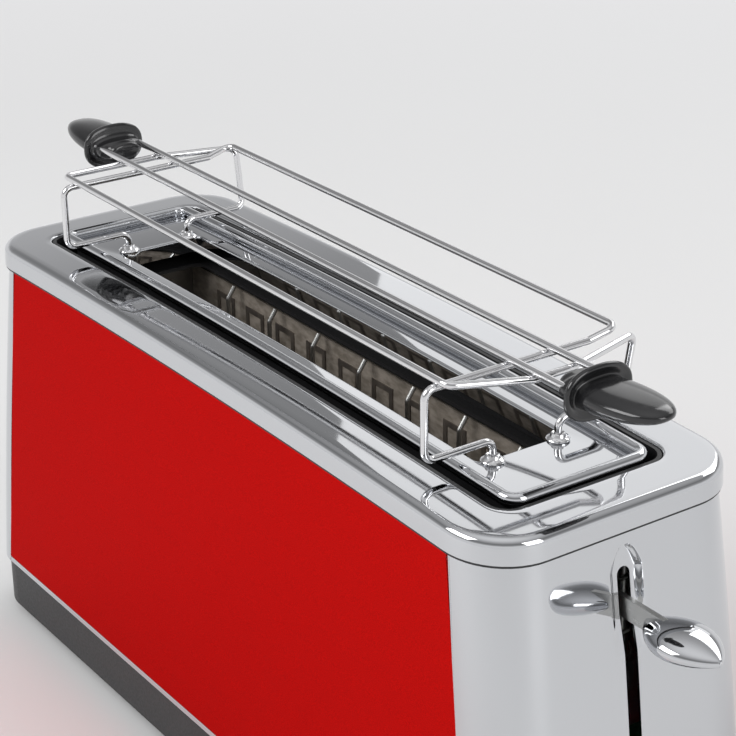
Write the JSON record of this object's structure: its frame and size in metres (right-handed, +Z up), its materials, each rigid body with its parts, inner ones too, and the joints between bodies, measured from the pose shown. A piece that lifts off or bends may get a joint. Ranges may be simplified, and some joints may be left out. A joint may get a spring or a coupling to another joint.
{
  "type": "long slot toaster",
  "caption": "Long slot toaster with a polished arched cover, red side panels, an end lever, a browning dial, push buttons, a crumb tray and a lift-off bun warming rack.",
  "frame": {"origin": "centre of the footprint, on the surface the rubber feet stand on", "axes": "+X towards the end with the lever and the controls, -Y towards the near side panel, +Z up"},
  "size_m": [0.4245, 0.1236, 0.2323],
  "materials": {
    "polished_steel": "mirror polish",
    "red_lacquer": "metallic gloss",
    "black_plastic": "satin",
    "black_gloss": "gloss",
    "black_rubber": "matte",
    "rack_chrome": "polished",
    "plated_steel": "satin",
    "mica": "matte",
    "heating_alloy": "oxidised",
    "magnet_iron": "matte",
    "board_green": "satin",
    "part_grey": "matte"
  },
  "bodies": {
    "housing": {"top_cover": "polished_steel", "control_end_panel": "polished_steel", "tail_end_panel": "polished_steel", "front_side_panel": "red_lacquer", "front_bright_strip": "polished_steel", "rear_side_panel": "red_lacquer", "rear_bright_strip": "polished_steel", "slot_collar": "polished_steel", "slot_carrier": "black_plastic", "base": "black_plastic", "rubber_foot_control_near": "black_rubber", "rubber_foot_control_far": "black_rubber", "rubber_foot_tail_near": "black_rubber", "rubber_foot_tail_far": "black_rubber", "cord_gland": "black_rubber", "terminal_block": "part_grey", "bulkhead_control": "plated_steel", "bulkhead_tail": "plated_steel", "heater_board_near": "mica", "heater_board_far": "mica", "heater_ribbon_near": "heating_alloy", "heater_ribbon_far": "heating_alloy", "reflector_near": "plated_steel", "reflector_far": "plated_steel", "guide_rod_near": "plated_steel", "guide_rod_far": "plated_steel", "rod_bracket": "plated_steel", "return_spring_near": "plated_steel", "return_spring_far": "plated_steel", "electromagnet": "magnet_iron", "potentiometer": "part_grey", "circuit_board": "board_green", "switch_defrost": "part_grey", "switch_cancel": "part_grey", "switch_reheat": "part_grey"},
    "carriage_assembly": {"bread_lift": "plated_steel", "carriage": "plated_steel", "armature_plate": "plated_steel", "lever_arm": "plated_steel", "lever_knob": "polished_steel"},
    "guard_near": {"bread_guard_near": "plated_steel"},
    "guard_far": {"bread_guard_far": "plated_steel"},
    "tray": {"crumb_tray": "plated_steel", "tray_front": "black_plastic"},
    "dial": {"browning_dial": "black_gloss", "dial_shaft": "plated_steel"},
    "defrost_button": {"button_defrost": "black_gloss"},
    "cancel_button": {"button_cancel": "black_gloss"},
    "reheat_button": {"button_reheat": "black_gloss"},
    "rack": {"rack_wire_near": "rack_chrome", "rack_wire_far": "rack_chrome", "rack_centre_rail_near": "rack_chrome", "rack_centre_rail_far": "rack_chrome", "rack_handle_control": "black_gloss", "rack_handle_tail": "black_gloss"}
  },
  "joints": [
    {"name": "lever_slide", "type": "slide", "parent": "housing", "child": "carriage_assembly", "axis": [0, 0, 1], "range_m": [-0.055, 0.01], "stiffness_N_per_m": 100, "springref_m": 0.0146, "deforming": ["return_spring_near", "return_spring_far"]},
    {"name": "guard_near_slide", "type": "slide", "parent": "housing", "child": "guard_near", "axis": [0, 1, 0], "range_m": [-0.0013, 0.0067]},
    {"name": "guard_far_slide", "type": "slide", "parent": "housing", "child": "guard_far", "axis": [0, -1, 0], "range_m": [-0.0013, 0.0067]},
    {"name": "crumb_tray_slide", "type": "slide", "parent": "housing", "child": "tray", "axis": [-1, 0, 0], "range_m": [0, 0.25]},
    {"name": "browning_dial_turn", "type": "hinge", "parent": "housing", "child": "dial", "pos_m": [0.19, 0, 0.054], "axis": [1, 0, 0], "range_deg": [-135, 135]},
    {"name": "defrost_press", "type": "slide", "parent": "housing", "child": "defrost_button", "axis": [-1, 0, 0], "range_m": [0, 0.002], "stiffness_N_per_m": 300, "springref_m": -0.001},
    {"name": "cancel_press", "type": "slide", "parent": "housing", "child": "cancel_button", "axis": [-1, 0, 0], "range_m": [0, 0.002], "stiffness_N_per_m": 300, "springref_m": -0.001},
    {"name": "reheat_press", "type": "slide", "parent": "housing", "child": "reheat_button", "axis": [-1, 0, 0], "range_m": [0, 0.002], "stiffness_N_per_m": 300, "springref_m": -0.001},
    {"name": "rack_lift_off", "type": "slide", "parent": "housing", "child": "rack", "axis": [0, 0, 1], "range_m": [0, 0.08]}
  ],
  "couplings": [
    {"joint": "guard_near_slide", "follows": "lever_slide", "ratio": -0.12},
    {"joint": "guard_far_slide", "follows": "lever_slide", "ratio": -0.12}
  ]
}
